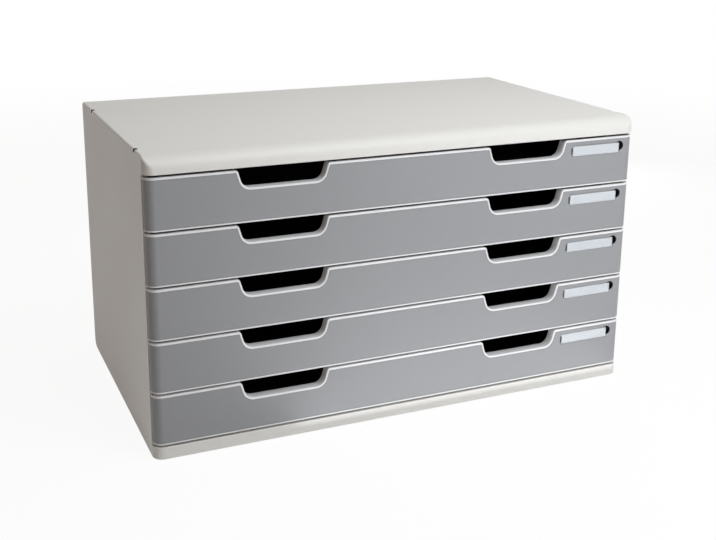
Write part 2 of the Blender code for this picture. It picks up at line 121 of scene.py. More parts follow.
def quarter(steps: int) -> list[float]:
    """Angles of a quarter turn in equal steps."""
    return [math.radians(90 * step / steps) for step in range(steps + 1)]


def rectangle(left: float, bottom: float, right: float, top: float) -> list[Point]:
    """Corners of a rectangle, in order."""
    return [(left, bottom), (right, bottom), (right, top), (left, top)]


def arc(centre: Point, radius: float, start: float, end: float, steps: int) -> list[Point]:
    """Points of an arc from one angle to another, in degrees, drawn with straight steps."""
    angles = [math.radians(start + (end - start) * step / steps) for step in range(steps + 1)]
    return [(centre[0] + radius * math.cos(a), centre[1] + radius * math.sin(a)) for a in angles]


def softened(corners: Sequence[Corner], steps: int = OUTLINE_STEPS) -> list[Point]:
    """Rounds the corners of a closed outline.

    Args:
        corners: Each corner's place and the radius it is rounded to, 0 to keep it sharp.
        steps: How many straight steps each rounding is drawn with.

    Returns:
        The points of the outline.
    """
    points: list[Point] = []
    for index, (x, y, radius) in enumerate(corners):
        if radius <= 0:
            points.append((x, y))
            continue
        here = Vector((x, y))
        before = (Vector(corners[index - 1][:2]) - here).normalized()
        after = (Vector(corners[(index + 1) % len(corners)][:2]) - here).normalized()
        half = before.angle(after) / 2
        centre = here + (before + after).normalized() * radius / math.sin(half)
        start = here + before * radius / math.tan(half) - centre
        turn = start.angle_signed(here + after * radius / math.tan(half) - centre)
        for step in range(steps + 1):
            spoke = start.copy()
            spoke.rotate(Matrix.Rotation(-turn * step / steps, 2))
            points.append(tuple(centre + spoke))
    return points


class Solid:
    """A closed shape. Plus joins another on, and minus cuts it out."""

    def __init__(self, shape: bmesh.types.BMesh) -> None:
        """Takes over a closed bmesh, with its corners welded and its faces turned outward.

        Args:
            shape: The bmesh, which is freed.
        """
        for vertex in shape.verts:
            vertex.co = [round(length / GRID) * GRID for length in vertex.co]
        bmesh.ops.remove_doubles(shape, verts=shape.verts, dist=WELD)
        bmesh.ops.dissolve_degenerate(shape, edges=shape.edges, dist=WELD)
        bmesh.ops.recalc_face_normals(shape, faces=shape.faces)
        self.mesh = bpy.data.meshes.new("solid")
        shape.to_mesh(self.mesh)
        shape.free()

    @classmethod
    def lofted(cls, sections: Sequence[Sequence[Vector]]) -> "Solid":
        """A skin through closed sections that have as many points each, with flat ends.

        Args:
            sections: The points of each section, in order.

        Returns:
            The solid.
        """
        shape = bmesh.new()
        rows = [[shape.verts.new(point) for point in section] for section in sections]
        shape.faces.new(rows[0])
        shape.faces.new(rows[-1])
        for row, following in zip(rows, rows[1:]):
            for index in range(len(row)):
                after = (index + 1) % len(row)
                shape.faces.new((row[index], row[after], following[after], following[index]))
        return cls(shape)

    @classmethod
    def prism(cls, view: View, outline: Sequence[Point], low: float, high: float) -> "Solid":
        """A flat outline in a view's plane, extruded square to it from low to high."""
        return cls.lofted([[view.point(a, b, along) for a, b in outline] for along in (low, high)])

    @classmethod
    def box(cls, low: Sequence[float], high: Sequence[float]) -> "Solid":
        """A box from its lowest corner to its highest."""
        return cls.prism(View.PLAN, rectangle(*low[:2], *high[:2]), low[2], high[2])

    @classmethod
    def beside(cls, side: int, across: Point, low: Point, high: Point) -> "Solid":
        """A box on one side of the middle, from its lowest y and z to its highest."""
        start, end = span(side, *across)
        return cls.box((start, *low), (end, *high))

    @classmethod
    def turned(cls, profile: Sequence[Point], centre: Vector, axis: View) -> "Solid":
        """A round solid.

        Args:
            profile: Radius and place along the axis of each ring, from one end to the other.
            centre: Where the axis starts.
            axis: The view whose outline the rings lie in.

        Returns:
            The solid.
        """
        sections = []
        for radius, along in profile:
            ring = arc((0.0, 0.0), radius, 0, 360, TURNED_SIDES)[:-1]
            sections.append([centre + axis.point(a, b, along) for a, b in ring])
        return cls.lofted(sections)

    def shape(self) -> bmesh.types.BMesh:
        """A bmesh copy of the solid.

        Returns:
            The copy, which the caller frees.
        """
        shape = bmesh.new()
        shape.from_mesh(self.mesh)
        return shape

    def _combined(self, other: "Solid", operation: str) -> "Solid":
        """The result of a Boolean operation with another solid.

        Args:
            other: The other solid.
            operation: Name of the operation.

        Returns:
            The new solid.
        """
        target, tool = new_object("target", self.mesh), new_object("tool", other.mesh)
        boolean = target.modifiers.new("boolean", "BOOLEAN")
        boolean.operation = operation
        boolean.object = tool
        bpy.context.view_layer.update()
        shape = bmesh.new()
        shape.from_object(target, bpy.context.evaluated_depsgraph_get())
        bpy.data.objects.remove(target)
        bpy.data.objects.remove(tool)
        return Solid(shape)

    def __add__(self, other: "Solid") -> "Solid":
        """Both solids as one."""
        return self._combined(other, "UNION")

    def __sub__(self, other: "Solid") -> "Solid":
        """This solid without the other."""
        return self._combined(other, "DIFFERENCE")

    def rounded(
        self,
        width: float,
        steps: int = EDGE_STEPS,
        sharper: float = EDGE_ANGLE,
        where: Callable[[Vector, Vector], bool] = lambda start, end: True,
    ) -> "Solid":
        """Rounds the sharp outward edges, as a moulding tool leaves them.

        Args:
            width: How far the rounding reaches from each edge.
            steps: How many faces it is drawn with.
            sharper: The least angle between two faces whose edge is rounded.
            where: Tells from an edge's two ends whether it is rounded.

        Returns:
            The rounded solid.
        """
        shape = self.shape()
        bmesh.ops.dissolve_limit(
            shape, angle_limit=FLAT_ANGLE, use_dissolve_boundaries=False,
            verts=shape.verts, edges=shape.edges,
        )
        chosen = [
            edge for edge in shape.edges
            if edge.is_manifold and edge.is_convex
            and edge.calc_face_angle() > sharper
            and where(edge.verts[0].co, edge.verts[1].co)
        ]
        bmesh.ops.bevel(
            shape, geom=chosen, offset=width, offset_type="OFFSET", segments=steps,
            profile=0.5, affect="EDGES", clamp_overlap=True,
        )
        return Solid(shape)

    def bent(self, places: Iterable[float], to: Callable[[Vector], Vector]) -> "Solid":
        """Slices the solid at planes of constant x and then moves each of its points.

        Args:
            places: The x of each plane.
            to: Gives a point's new place from its old one.

        Returns:
            The bent solid.
        """
        shape = self.shape()
        for place in places:
            everything = list(shape.verts) + list(shape.edges) + list(shape.faces)
            bmesh.ops.bisect_plane(shape, geom=everything, plane_co=(place, 0, 0), plane_no=(1, 0, 0))
        shape = Solid(shape).shape()
        for vertex in shape.verts:
            vertex.co = to(vertex.co)
        return Solid(shape)


# Shader maths


class Field:
    """A value, colour or vector that a node gives. Python's operators add Math nodes."""

    def __init__(self, board: "Board", socket: bpy.types.NodeSocket) -> None:
        """Wraps the output socket of a node on a board."""
        self.board = board
        self.socket = socket

    def _maths(self, operation: str, *values: "Field | float") -> "Field":
        """A Math node on values."""
        return self.board.field("Math", dict(enumerate(values)), operation=operation)

    def __add__(self, other: "Field | float") -> "Field":
        """Sum."""
        return self._maths("ADD", self, other)

    def __radd__(self, other: float) -> "Field":
        """Sum, from the right."""
        return self._maths("ADD", other, self)

    def __sub__(self, other: "Field | float") -> "Field":
        """Difference."""
        return self._maths("SUBTRACT", self, other)

    def __rsub__(self, other: float) -> "Field":
        """Difference, from the right."""
        return self._maths("SUBTRACT", other, self)

    def __mul__(self, other: "Field | float") -> "Field":
        """Product."""
        return self._maths("MULTIPLY", self, other)

    def __rmul__(self, other: float) -> "Field":
        """Product, from the right."""
        return self._maths("MULTIPLY", other, self)

    def beside(self, name: str) -> "Field":
        """Another output of the same node."""
        return Field(self.board, self.socket.node.outputs[name])

    def limited(self) -> "Field":
        """The value kept from 0 to 1."""
        return self.board.field("Clamp", {"Value": self})

    def step(self, low: float, high: float) -> "Field":
        """Rises smoothly from 0 at low to 1 at high."""
        inputs = {"Value": self, "From Min": low, "From Max": high}
        return self.board.field("MapRange", inputs, interpolation_type="SMOOTHSTEP")


@dataclass(frozen=True)
class Noise:
    """Soft noise from 0 to 1: waves per metre, layers, strength of the finer ones, and stretch."""

    scale: float
    layers: float = 2.0
    roughness: float = 0.5
    stretch: Corner | None = None


class Board:
    """The nodes of a material or the world."""

    def __init__(self, owner: bpy.types.Material | bpy.types.World) -> None:
        """Empties the owner's node tree and takes it over.

        Args:
            owner: The material or the world that the nodes belong to.
        """
        owner.use_nodes = True
        self.tree = owner.node_tree
        self.tree.nodes.clear()

    def field(self, kind: str, inputs: Inputs, output: int | str = 0, **settings: object) -> Field:
        """Adds a node and gives one of its outputs.

        Args:
            kind: The node's type, without the start that all shader nodes share.
            inputs: A value or a Field for each input, by number, or by name among the enabled ones.
            output: Name of the output, or its number among the enabled ones.
            settings: The node's own settings.

        Returns:
            The output.
        """
        node = self.tree.nodes.new("ShaderNode" + kind)
        for name, value in settings.items():
            setattr(node, name, value)
        for key, value in inputs.items():
            named = (socket for socket in node.inputs if socket.name == key and socket.enabled)
            socket = node.inputs[key] if isinstance(key, int) else next(named)
            if isinstance(value, Field):
                self.tree.links.new(value.socket, socket)
            else:
                socket.default_value = value
        if isinstance(output, str):
            return Field(self, node.outputs[output])
        return Field(self, [socket for socket in node.outputs if socket.enabled][output])

    def mixed(self, share: Field | float, first: object, second: object) -> Field:
        """A colour between two colours."""
        return self.field("Mix", {"Factor": share, "A": first, "B": second}, data_type="RGBA")

    def vector(self, operation: str, inputs: Inputs, output: int | str = 0) -> Field:
        """Vector Math."""
        return self.field("VectorMath", inputs, output, operation=operation)

    def noise(self, place: Field, noise: Noise) -> Field:
        """Adds noise.

        Args:
            place: The place on the piece.
            noise: What it is like.

        Returns:
            The noise at that place.
        """
        if noise.stretch:
            place = self.vector("MULTIPLY", {0: place, 1: noise.stretch})
        inputs = {"Scale": noise.scale, "Detail": noise.layers, "Roughness": noise.roughness}
        return self.field("TexNoise", {"Vector": place, **inputs})

    def bump(self, height: Field, distance: float, strength: float = 1.0, **under: Field) -> Field:
        """A normal tilted by a height, over the Normal that is under it if one is given."""
        inputs = {"Strength": strength, "Distance": distance, "Height": height, **under}
        return self.field("Bump", inputs)

    def place(self) -> Field:
        """The place on the piece, shifted for each piece so that no two have the same marks.

        Returns:
            The place in metres.
        """
        own = self.field("TexCoord", {}, "Object")
        chance = self.field("ObjectInfo", {}, "Random")
        shift = self.field("CombineXYZ", {0: chance, 1: chance, 2: chance})
        return self.vector("ADD", {0: own, 1: shift})

    def seen(self) -> Field:
        """Tells the rays that show the surroundings: straight, in a gloss, or through a clear piece.

        Returns:
            1 for such rays and 0 for all others.
        """
        straight = self.field("LightPath", {}, "Is Camera Ray")
        clear = straight.beside("Is Transmission Ray")
        return (straight + straight.beside("Is Glossy Ray") + clear).limited()

    def close(self, shader: Field, kind: str = "OutputMaterial") -> None:
        """Leads a shader to the output."""
        output = self.tree.nodes.new("ShaderNode" + kind)
        self.tree.links.new(shader.socket, output.inputs["Surface"])

    def coat(self, inputs: Inputs) -> None:
        """Leads a Principled shader to the output."""
        self.close(self.field("BsdfPrincipled", inputs))


# Finishes


def opaque(colour: Colour) -> tuple[float, float, float, float]:
    """A colour with full alpha."""
    return (*colour, 1.0)


@dataclass(frozen=True)
class Finish:
    """A finish of one material slot of the record."""

    name: str
    slot: str
    colour: Colour
    roughness: float

    def dress(self, board: Board) -> None:
        """Adds the finish's nodes. Each kind of finish has its own."""
        raise NotImplementedError

    @cached_property
    def material(self) -> bpy.types.Material:
        """The material, built once.

        Returns:
            The material with its nodes.
        """
        material = bpy.data.materials.new(self.name)
        material.diffuse_color = opaque(self.colour)
        self.dress(Board(material))
        return material


@dataclass(frozen=True)
class MouldedPlastic(Finish):
    """Injection-moulded plastic: spark-eroded grain, faint flow clouds, scuffs, and edges lightened partly
    as rub wear and partly as a painted highlight.
    """

    gloss: float = 0.3
    clouding: float = 0.03
    clouds: Noise = Noise(9.0, 3.0)
    cloud_roughness: float = 0.10
    specks: Noise = Noise(900.0, 2.0, 0.6)
    scuffs: Noise = Noise(1.0, 3.0, 0.6, (60.0, 60.0, 900.0))
    scuff_range: Point = (0.62, 0.80)
    scuff_roughness: float = 0.05
    grain: Noise = Noise(1500.0, 2.0, 0.55)
    grain_height: float = 0.000012
    waves: Noise = Noise(14.0, 1.0)
    wave_height: float = 0.0002
    # Edges are mixed toward a lighter colour: partly rub wear, partly a painted edge highlight.
    edge_wear_and_highlight: float = 0.10
    lightened_edge_darkness: float = 0.80
    rub_gloss: float = 0.08
    edge_mask_radius: float = 0.0012
    edge_mask_samples: int = 4
    edge_mask_range: Point = (0.02, 0.16)

    def dress(self, board: Board) -> None:
        """Adds the nodes of grained plastic.

        Args:
            board: The nodes of the material.
        """
        place = board.place()
        clouds = board.noise(place, self.clouds) - NOISE_MIDDLE
        specks = board.noise(place, self.specks) - NOISE_MIDDLE
        scuffs = board.noise(place, self.scuffs).step(*self.scuff_range)
        tone = 1 + self.clouding * clouds + self.clouding / 2 * specks
        shade = board.vector("SCALE", {0: self.colour, "Scale": tone})
        # Painted edge highlight, with some rub wear: the colour at each edge is mixed toward a lighter one.
        worn_highlit = self.worn_and_highlit_edges(board)
        worn_highlit_colour = tuple(1 - (1 - level) * self.lightened_edge_darkness for level in self.colour)
        colour = board.mixed(self.edge_wear_and_highlight * worn_highlit, shade, opaque(worn_highlit_colour))
        roughness = self.roughness + self.cloud_roughness * clouds + self.scuff_roughness * scuffs
        roughness = (roughness - self.rub_gloss * worn_highlit).limited()
        waves = board.bump(board.noise(place, self.waves), self.wave_height)
        grain = board.bump(board.noise(place, self.grain), self.grain_height, Normal=waves)
        gloss = {"Roughness": roughness, "Specular IOR Level": self.gloss}
        board.coat({"Base Color": colour, "Normal": grain, **gloss})

    def worn_and_highlit_edges(self, board: Board) -> Field:
        """Finds every edge whose colour is lightened, partly as rub wear and partly as a painted edge
        highlight.

        Args:
            board: The nodes of the material.

        Returns:
            1 at such an edge and 0 on the flat.
        """
        soft = board.field("Bevel", {"Radius": self.edge_mask_radius}, samples=self.edge_mask_samples)
        true = board.field("NewGeometry", {}, "Normal")
        bend = board.vector("DOT_PRODUCT", {0: soft, 1: true}, "Value")
        return (1 - bend).step(*self.edge_mask_range)


@dataclass(frozen=True)
class LabelCard(Finish):
    """Uncoated white card with a faint fibre."""

    fibre: Noise = Noise(1.0, 4.0, 0.7, (500.0, 500.0, 1600.0))
    fibre_tone: float = 0.04
    fibre_height: float = 0.00003
    fibre_strength: float = 0.6
    clouds: Noise = Noise(60.0)
    cloud_tone: float = 0.03

    def dress(self, board: Board) -> None:
        """Adds the nodes of card.

        Args:
            board: The nodes of the material.
        """
        place = board.place()
        fibre = board.noise(place, self.fibre)
        clouds = board.noise(place, self.clouds)
        tone = 1 + self.fibre_tone * (fibre - NOISE_MIDDLE) + self.cloud_tone * (clouds - NOISE_MIDDLE)
        colour = board.vector("SCALE", {0: self.colour, "Scale": tone})
        normal = board.bump(fibre, self.fibre_height, self.fibre_strength)
        board.coat({"Base Color": colour, "Roughness": self.roughness, "Normal": normal})


@dataclass(frozen=True)
class ClearPlastic(Finish):
    """A thin clear sheet: it shows what lies behind it, with a faint gloss and fine scratches."""

    clearness: float = 0.78
    scratches: Noise = Noise(1.0, 3.0, 0.6, (80.0, 80.0, 3000.0))
    scratch_range: Point = (0.60, 0.74)
    scratch_haze: float = 0.05
    scratch_roughness: float = 0.15

    def dress(self, board: Board) -> None:
        """Adds the nodes of a clear sheet.

        Args:
            board: The nodes of the material.
        """
        scratches = board.noise(board.place(), self.scratches).step(*self.scratch_range)
        alpha = 1 - self.clearness + self.scratch_haze * scratches
        roughness = self.roughness + self.scratch_roughness * scratches
        board.coat({"Base Color": opaque(self.colour), "Roughness": roughness, "Alpha": alpha})


@dataclass(frozen=True)
class Rubber(Finish):
    """Matt black rubber with a fine sandy skin and some dust."""

    sand: Noise = Noise(2200.0, 3.0, 0.65)
    sand_height: float = 0.00003
    dust: Noise = Noise(120.0, 3.0)
    dust_range: Point = (0.50, 0.80)
    dust_tone: float = 0.05

    def dress(self, board: Board) -> None:
        """Adds the nodes of rubber.

        Args:
            board: The nodes of the material.
        """
        place = board.place()
        dust = board.noise(place, self.dust).step(*self.dust_range)
        dusty = tuple(level + self.dust_tone for level in self.colour)
        colour = board.mixed(dust, opaque(self.colour), opaque(dusty))
        normal = board.bump(board.noise(place, self.sand), self.sand_height)
        board.coat({"Base Color": colour, "Roughness": self.roughness, "Normal": normal})


CASING = MouldedPlastic("casing_plastic_look", "casing_plastic", (0.642, 0.630, 0.605), 0.42)
BEZEL = MouldedPlastic("bezel_plastic_look", "bezel_plastic", (0.680, 0.680, 0.685), 0.40, edge_wear_and_highlight=0.03)
FACE = MouldedPlastic("front_plastic_look", "front_plastic", (0.254, 0.257, 0.266), 0.36, clouding=0.05)
# The tray pieces are near-black as painted shade: the real tray is light grey, and the dark stands for its
# unlit inside seen through the hand-holds and gaps.
TRAY_PAINTED_SHADE = MouldedPlastic("tray_painted_shade_look", "tray_plastic", (0.022, 0.022, 0.024), 0.48, grain_height=0.00002)
CARD = LabelCard("label_card_look", "label_paper", (0.41, 0.43, 0.455), 0.75)
WINDOW = ClearPlastic("label_window_look", "clear_plastic", (0.90, 0.93, 0.97), 0.12)
FOOT = Rubber("foot_rubber_look", "foot_rubber", (0.028, 0.028, 0.028), 0.75)


# Sub-assemblies


def add_piece(
    name: str, solid: Solid, finish: Finish, body: str, node: str, place: Sequence[float] = (0, 0, 0)
) -> None:
    """Puts a piece into the scene in place of a CAD node.

    Args:
        name: Name of the piece.
        solid: Its shape.
        finish: Its finish.
        body: The body that it rides on.
        node: The CAD node that it stands for.
        place: Where the origin of the shape lies.
    """
    piece = new_object(name, solid.mesh, place)
    if not solid.mesh.materials:
        solid.mesh.materials.append(finish.material)
        solid.mesh.shade_smooth()
        solid.mesh.set_sharp_from_angle(angle=SHARP_ANGLE)
        solid.mesh.name = name
    piece.modifiers.new("normals", "WEIGHTED_NORMAL").keep_sharp = True
    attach(piece, body)
    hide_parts(node)
    LOG.info("%s stands for %s on %s: %d faces", name, node, body, len(solid.mesh.polygons))


@dataclass(frozen=True)
class CaseSizes:
    """The sizes that the parts of the casing and the drawers share."""

    width: float = 0.574
    depth: float = 0.330
    corner: float = 0.011
    corner_steps: int = 16
    panel_front: float = 0.012
    foot_proud: float = 0.001
    base_top: float = 0.0141
    lid_bottom: float = 0.3011
    top: float = 0.320
    lid_plate: float = 0.003
    side_wall: float = 0.0025
    back_recess: float = 0.0015
    back_wall: float = 0.0025
    joint: float = 0.00003
    rib_count: int = 3
    rib_thickness: float = 0.002
    drawers: int = 5

    @property
    def half(self) -> float:
        """Half the width."""
        return self.width / 2

    @property
    def front(self) -> float:
        """Where the front of the casing stands."""
        return -self.depth / 2

    @property
    def back(self) -> float:
        """Where the back of the casing stands."""
        return self.depth / 2

    @property
    def inner_half(self) -> float:
        """Half the width between the side panels."""
        return self.half - self.side_wall

    @property
    def back_panel_front(self) -> float:
        """Where the inside of the back panel stands."""
        return self.back - self.back_recess - self.back_wall

    @property
    def lid_inside(self) -> float:
        """Height of the underside of the top cover's plate."""
        return self.top - self.lid_plate

    def half_width_at(self, inward: float) -> float:
        """Half the width of the footprint, some way in from the front, where the corners are round.

        Args:
            inward: How far in from the front.

        Returns:
            Half the width there.
        """
        if inward >= self.corner:
            return self.half
        return self.half - self.corner + math.sqrt(self.corner**2 - (self.corner - inward) ** 2)

    def footprint(self) -> list[Point]:
        """Plan outline with its two round front corners.

        Returns:
            The points of the outline.
        """
        across, y = self.half - self.corner, self.front + self.corner
        outline = arc((-across, y), self.corner, 180, 270, self.corner_steps)
        outline += arc((across, y), self.corner, 270, 360, self.corner_steps)
        return outline + [(self.half, self.back), (-self.half, self.back)]

    def ribs(self, front: float, low: float, high: float) -> list[Solid]:
        """Ribs from front to back, spread over the width.

        Args:
            front: Where they start.
            low: Height of their underside.
            high: Height of their top.

        Returns:
            One solid for each rib.
        """
        ribs = []
        for number in range(1, self.rib_count + 1):
            middle = self.width * (number / (self.rib_count + 1) - 0.5)
            start, end = middle - self.rib_thickness / 2, middle + self.rib_thickness / 2
            ribs.append(Solid.box((start, front, low), (end, self.back_panel_front, high)))
        return ribs

    def panel_seats(self, low: float, high: float) -> list[Solid]:
        """Cutters for the room of both side panels.

        Args:
            low: Height of their underside.
            high: Height of their top.

        Returns:
            The left cutter and the right one.
        """
        across = (self.inner_half - self.joint, self.half + OVERRUN)
        front = self.front + self.panel_front - self.joint
        return [Solid.beside(side, across, (front, low), (self.back + OVERRUN, high)) for side in (-1, 1)]


CASE = CaseSizes()


@dataclass(frozen=True)
class EdgeNotches:
    """The small dark holes on the upper side edges, where a second unit locks on.

    Each is an opening across the edge, with a wider pocket behind the skin round it.
    """

    length: float = 0.0088
    reach: float = 0.004
    drop: float = 0.004
    skin: float = 0.0007
    pocket_margin: float = 0.006
    pocket_depth: float = 0.011
    front_inset: float = 0.041
    back_inset: float = 0.060

    def cutters(self, side: int) -> list[Solid]:
        """Cutters for the notches of one side.

        Args:
            side: -1 for the left side and 1 for the right one.

        Returns:
            Two cutters for each notch: its opening and its pocket.
        """
        cutters = []
        half, top, margin = CASE.half, CASE.top, self.pocket_margin
        opening = (half - self.reach, half + OVERRUN)
        pocket = (half - self.reach - margin, half - self.skin)
        for middle in (CASE.front + self.front_inset, CASE.back - self.back_inset):
            start, end = middle - self.length / 2, middle + self.length / 2
            cutters.append(Solid.beside(side, opening, (start, top - self.drop), (end, top + OVERRUN)))
            low, high = (start - margin, top - self.pocket_depth), (end + margin, top - self.skin)
            cutters.append(Solid.beside(side, pocket, low, high))
        return cutters


NOTCHES = EdgeNotches()


@dataclass(frozen=True)
class TopCover:
    """The top cover: a plate with a round nose and softened edges, hollow below, with ribs."""

    nose_depth: float = 0.019
    nose_drop: float = 0.014
    nose_steps: int = 26
    skirt: float = 0.0025
    edge: float = 0.0022
    edge_steps: int = 4
    heel_steps: int = 3
    lower_edge: float = 0.0005
    rib_height: float = 0.010

    def height_at(self, inward: float) -> float:
        """Height of the skin some way in from the front: the nose, the plate, the back edge.

        Args:
            inward: How far in from the front.

        Returns:
            The height over the table.
        """
        if inward < self.nose_depth:
            lean = 1 - inward / self.nose_depth
            return CASE.top - self.nose_drop * (1 - math.sqrt(1 - lean**2))
        past = inward - (CASE.depth - self.edge)
        if past > 0:
            return CASE.top - self.edge + math.sqrt(max(self.edge**2 - past**2, 0.0))
        return CASE.top

    def stations(self) -> list[float]:
        """How far in from the front each section of the skin is drawn, from the front to the back."""
        nose = [self.nose_depth * (1 - math.cos(angle)) for angle in quarter(self.nose_steps)]
        return nose + [CASE.depth - self.edge * (1 - math.sin(angle)) for angle in quarter(self.heel_steps)]

    def section(self, inward: float) -> list[Vector]:
        """The closed section of the skin at one station, from the lower left round to the lower right.

        Args:
            inward: How far in from the front the station lies.

        Returns:
            The points of the section.
        """
        half = CASE.half_width_at(inward)
        across, z = half - self.edge, self.height_at(inward) - self.edge
        outline = [(-half, CASE.lid_bottom)] + arc((-across, z), self.edge, 180, 90, self.edge_steps)
        outline += arc((across, z), self.edge, 90, 0, self.edge_steps) + [(half, CASE.lid_bottom)]
        return [Vector((x, CASE.front + inward, z)) for x, z in outline]

    def hollow(self) -> Solid:
        """The room under the plate.

        Returns:
            The cutter that makes it.
        """
        half = CASE.inner_half - self.skirt
        front, back, low = CASE.front + self.skirt, CASE.back - self.skirt, CASE.lid_bottom - OVERRUN
        outline = [(back, low), (back, CASE.lid_inside)]
        for angle in quarter(self.nose_steps):
            y = front + (self.nose_depth - self.skirt) * (1 - math.sin(angle))
            outline.append((y, CASE.lid_inside - (self.nose_drop - self.skirt) * (1 - math.cos(angle))))
        return Solid.prism(View.SIDE, outline + [(front, low)], -half, half)

    def build(self) -> None:
        """Builds and dresses the cover."""
        low = CASE.lid_bottom + self.edge / 2
        cover = Solid.lofted([self.section(inward) for inward in self.stations()])
        cover = cover.rounded(
            self.lower_edge, THIN_EDGE_STEPS, STEEP_ANGLE, lambda start, end: max(start.z, end.z) < low
        )
        cover = cover - self.hollow()
        under, rooted = CASE.lid_inside - self.rib_height, CASE.top - CASE.lid_plate / 2
        cover = reduce(add, CASE.ribs(CASE.front + self.nose_depth, under, rooted), cover)
        cutters = CASE.panel_seats(CASE.lid_bottom - OVERRUN, CASE.lid_inside)
        cover = reduce(sub, cutters + NOTCHES.cutters(-1) + NOTCHES.cutters(1), cover)
        add_piece("lid", cover, CASING, "casing", "top_cover")


@dataclass(frozen=True)
class Plinth:
    """The base: a plinth with round front corners, open below, with ribs and foot bosses."""

    plate: float = 0.003
    skirt: float = 0.0025
    edge: float = 0.0006
    rib_height: float = 0.008
    foot_inset: float = 0.030
    foot_radius: float = 0.009
    foot_thickness: float = 0.0025
    boss_wall: float = 0.0025
    boss_gap: float = 0.0003
    groove: tuple[Point, ...] = ((0.0022, 0.0), (0.0016, 0.0005), (0.0010, 0.0))
    button: tuple[Point, ...] = ((0.0028, 0.0006), (0.0034, 0.0))
    rim: tuple[Point, ...] = ((0.0005, 0.0), (0.0001, 0.0004), (0.0, 0.0008))

    def foot_places(self) -> dict[str, Vector]:
        """Name and place of each foot.

        Returns:
            The place in plan by name.
        """
        across = CASE.half - self.foot_inset
        rows = {"front": CASE.front + self.foot_inset, "back": CASE.back - self.foot_inset}
        return {
            end + "_" + label: Vector((side * across, y, 0))
            for end, y in rows.items() for label, side in (("left", -1), ("right", 1))
        }

    def build(self) -> None:
        """Builds and dresses the base."""
        base = Solid.prism(View.PLAN, CASE.footprint(), CASE.foot_proud, CASE.base_top)
        base = base.rounded(
            self.edge, sharper=STEEP_ANGLE, where=lambda start, end: abs(start.z - end.z) < WELD
        )
        under = CASE.base_top - self.plate
        rooted = under + self.plate / 2
        half = CASE.inner_half - self.skirt
        low = (-half, CASE.front + self.skirt, CASE.foot_proud - OVERRUN)
        base = base - Solid.box(low, (half, CASE.back - self.skirt, under))
        base = reduce(add, CASE.ribs(CASE.front + self.skirt / 2, under - self.rib_height, rooted), base)
        radius = self.foot_radius + self.boss_wall
        rings = [(radius, self.foot_thickness + self.boss_gap), (radius, rooted)]
        bosses = [Solid.turned(rings, spot, View.PLAN) for spot in self.foot_places().values()]
        base = reduce(add, bosses, base)
        base = reduce(sub, CASE.panel_seats(CASE.foot_proud - OVERRUN, CASE.base_top + OVERRUN), base)
        add_piece("plinth", base, CASING, "casing", "base")
        self.build_feet()

    def build_feet(self) -> None:
        """Builds and dresses the rubber feet, each with a ring groove round a button."""
        outer = [(self.foot_radius - inset, z) for inset, z in self.groove + self.rim]
        profile = [*self.button, *outer, (self.foot_radius, self.foot_thickness)]
        for name, spot in self.foot_places().items():
            foot = Solid.turned(profile, spot, View.PLAN)
            add_piece("foot_" + name, foot, FOOT, "casing", "foot_pad_" + name)


@dataclass(frozen=True)
class SidePanel:
    """A side panel: a thin wall with a ledge and a keeper for each drawer on its inside."""

    label: str
    side: int
    heel: float = 0.010
    ledge_width: float = 0.0085
    ledge_thickness: float = 0.002
    ledge_setback: float = 0.003
    ledge_drop: float = 0.0107
    ledge_gap: float = 0.0003
    keeper_drop: float = 0.0076
    keeper_length: float = 0.072
    edge: float = 0.0004
    sharp_front: float = 0.02

    @property
    def top(self) -> float:
        """Height of the panel's top."""
        return CASE.lid_inside - CASE.joint

    @property
    def ledge_front(self) -> float:
        """Where the ledges start."""
        return CASE.front + CASE.panel_front + self.ledge_setback

    def wall(self) -> Solid:
        """The wall, with its heel rounded.

        Returns:
            The wall.
        """
        front = CASE.front + CASE.panel_front
        corners = [
            (front, self.top, 0.0), (front, CASE.foot_proud, 0.0),
            (CASE.back, CASE.foot_proud, self.heel), (CASE.back, self.top, 0.0),
        ]
        return Solid.prism(View.SIDE, softened(corners), *span(self.side, CASE.inner_half, CASE.half))

    def shows(self, start: Vector, end: Vector) -> bool:
        """Tells the outer edges that are rounded: all but the top one and the front one.

        Args:
            start: One end of the edge.
            end: Its other end.

        Returns:
            Whether the edge is rounded.
        """
        outer = min(start.x * self.side, end.x * self.side) > CASE.half - WELD
        high = max(start.z, end.z)
        behind = max(start.y, end.y) > CASE.front + self.sharp_front
        return outer and (behind or high < CASE.foot_proud + WELD) and high < self.top - WELD

    def ledge(self, bottom: float, end: float) -> Solid:
        """A ledge from the front of the panel to some place, rooted in the wall.

        Args:
            bottom: Height of its underside.
            end: Where it ends, front to back.

        Returns:
            The ledge.
        """
        across = (CASE.inner_half - self.ledge_width, CASE.inner_half + CASE.side_wall / 2)
        high = (end, bottom + self.ledge_thickness)
        return Solid.beside(self.side, across, (self.ledge_front, bottom), high)

    def build(self) -> None:
        """Builds and dresses the panel."""
        panel = self.wall().rounded(self.edge, where=self.shows)
        end = CASE.back_panel_front - self.ledge_gap
        panel = panel + self.ledge(CASE.base_top + self.ledge_gap, end)
        for number in range(1, CASE.drawers + 1):
            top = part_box("drawer_bezel_%d" % number)[1].z
            panel = panel + self.ledge(top - self.ledge_drop - self.ledge_thickness, end)
            panel = panel + self.ledge(top - self.keeper_drop, self.ledge_front + self.keeper_length)
        panel = reduce(sub, NOTCHES.cutters(self.side), panel)
        add_piece("side_" + self.label, panel, CASING, "casing", "side_panel_" + self.label)


